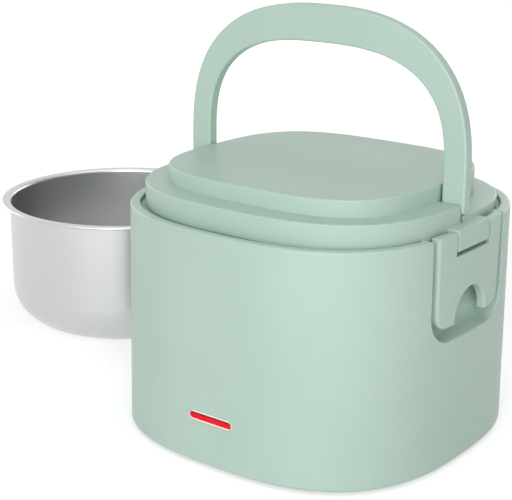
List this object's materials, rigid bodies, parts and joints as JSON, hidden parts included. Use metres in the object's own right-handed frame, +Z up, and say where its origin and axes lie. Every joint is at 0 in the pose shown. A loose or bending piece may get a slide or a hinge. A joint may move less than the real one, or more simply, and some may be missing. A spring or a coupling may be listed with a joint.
{
  "type": "electric lunch box",
  "caption": "Heated lunch box with a rounded square housing, a tiered lift-off lid held by side latches, an arched folding handle, a lamp slot and a round steel pot beside it.",
  "frame": {"origin": "centre of the heated base on the plane of its four feet, where it stands on the table", "axes": "+Z up, front with the lamp slot faces -Y, latches on the X sides, +X to the right seen from the front"},
  "size_m": [0.3377, 0.2091, 0.2066],
  "materials": {
    "shell_plastic": "moulded polypropylene, fine satin texture",
    "deck_plastic": "moulded polypropylene, satin",
    "well_aluminium": "drawn and brushed",
    "cast_aluminium": "as cast",
    "element_steel": "drawn tube",
    "fibre_board": "pressed ceramic fibre",
    "plated_steel": "zinc plated",
    "screw_steel": "zinc plated",
    "dark_plastic": "moulded phenolic, satin",
    "ceramic": "fired steatite",
    "lead_brown": "silicone insulation",
    "lead_blue": "silicone insulation",
    "lead_red": "silicone insulation",
    "red_lens": "clear red acrylic, polished",
    "lamp_glass": "blown glass",
    "pin_brass": "nickel plated brass",
    "pin_steel": "ground steel rod",
    "foot_rubber": "moulded rubber",
    "silicone": "moulded silicone",
    "pot_steel": "drawn stainless, fine brushed outside, satin inside"
  },
  "bodies": {
    "housing": {"outer_housing": "shell_plastic", "deck_ring": "deck_plastic", "heating_well": "well_aluminium", "heater_plate": "cast_aluminium", "heating_element": "element_steel", "insulation_pad": "fibre_board", "heat_shield": "plated_steel", "well_screws": "screw_steel", "thermostat": "dark_plastic", "thermostat_bracket": "plated_steel", "thermal_fuse": "element_steel", "fuse_sleeve": "ceramic", "terminal_block": "ceramic", "live_lead": "lead_brown", "neutral_lead": "lead_blue", "lamp_leads": "lead_red", "indicator_lens": "red_lens", "lamp_holder": "dark_plastic", "neon_lamp": "lamp_glass", "inlet_socket": "dark_plastic", "inlet_pins": "pin_brass", "inlet_screws": "screw_steel", "base_cover": "deck_plastic", "base_screws": "screw_steel", "feet": "foot_rubber"},
    "lid": {"lid_shell": "shell_plastic", "lid_cap": "shell_plastic", "lid_inner_plate": "deck_plastic", "lid_gasket": "silicone", "lid_screws": "screw_steel", "handle_pins": "pin_steel", "latch_pins": "pin_steel"},
    "handle": {"handle": "shell_plastic"},
    "latch_right": {"latch_right": "shell_plastic"},
    "latch_left": {"latch_left": "shell_plastic"},
    "pot": {"food_pot": "pot_steel"}
  },
  "joints": [
    {"name": "lid_lift", "type": "slide", "parent": "housing", "child": "lid", "axis": [0, 0, 1], "range_m": [0, 0.13]},
    {"name": "handle_fold", "type": "hinge", "parent": "lid", "child": "handle", "pos_m": [0, 0, 0.1207], "axis": [1, 0, 0], "range_deg": [-90, 0]},
    {"name": "latch_right_swing", "type": "hinge", "parent": "lid", "child": "latch_right", "pos_m": [0.0821, 0, 0.1099], "axis": [0, -1, 0], "range_deg": [0, 105]},
    {"name": "latch_left_swing", "type": "hinge", "parent": "lid", "child": "latch_left", "pos_m": [-0.0821, 0, 0.1099], "axis": [0, 1, 0], "range_deg": [0, 105]},
    {"name": "pot_lift", "type": "slide", "parent": "housing", "child": "pot", "axis": [0, 0, 1], "range_m": [0, 0.15]}
  ]
}
